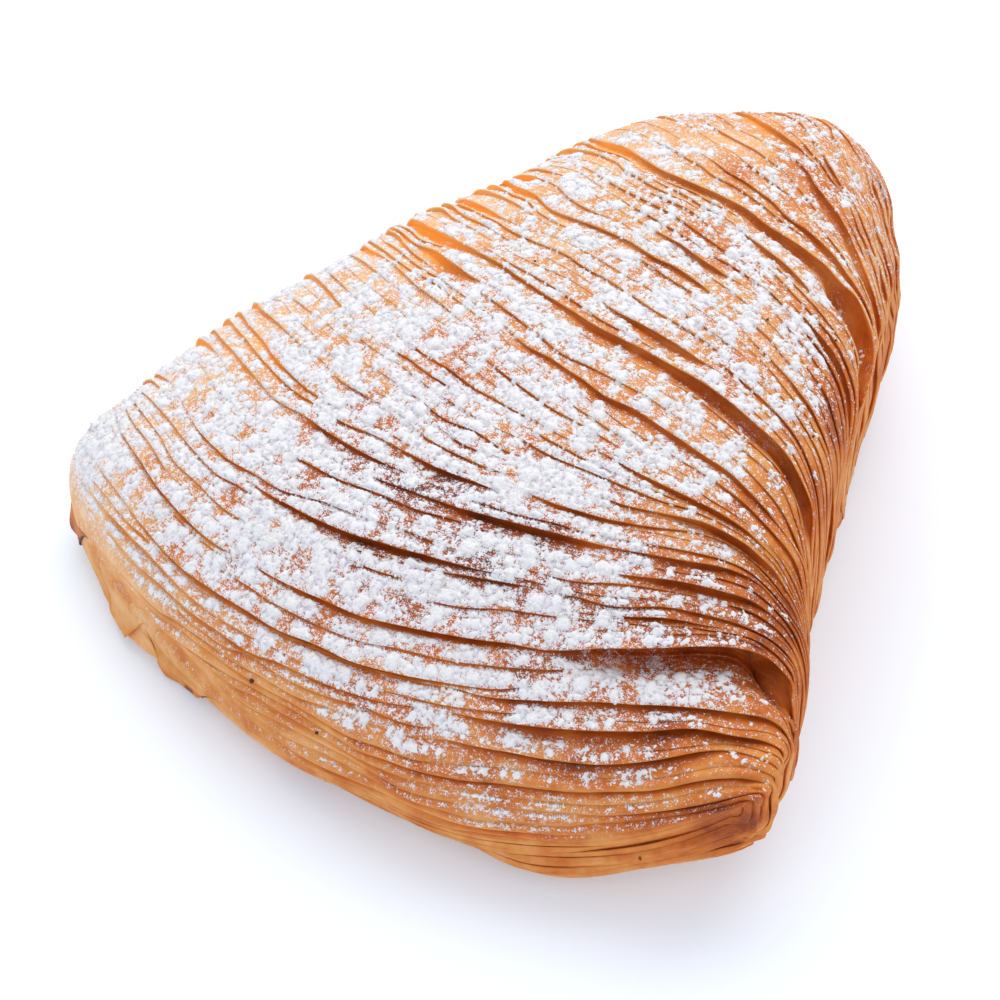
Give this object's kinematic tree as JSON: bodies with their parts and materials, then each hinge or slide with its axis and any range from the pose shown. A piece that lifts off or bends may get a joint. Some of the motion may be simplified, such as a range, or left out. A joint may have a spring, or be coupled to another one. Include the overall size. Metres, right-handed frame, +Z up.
{
  "type": "sfogliatella",
  "caption": "Baked sfogliatella pastry: a rounded triangular shell of thin crisp leaves overlapping from apex to nose, dusted with icing sugar.",
  "frame": {"origin": "middle of the bounding box at the height of the table", "axes": "+Z up; +Y from the wide nose towards the narrow apex; +X towards the corner where the leaves fan together"},
  "size_m": [0.1062, 0.1202, 0.0446],
  "materials": {
    "crust": "dry baked leaf pastry, golden brown, faintly greasy sheen",
    "icing_sugar": "dry white powder in soft clumps"
  },
  "bodies": {
    "root": {"pastry": "crust"}
  },
  "joints": []
}
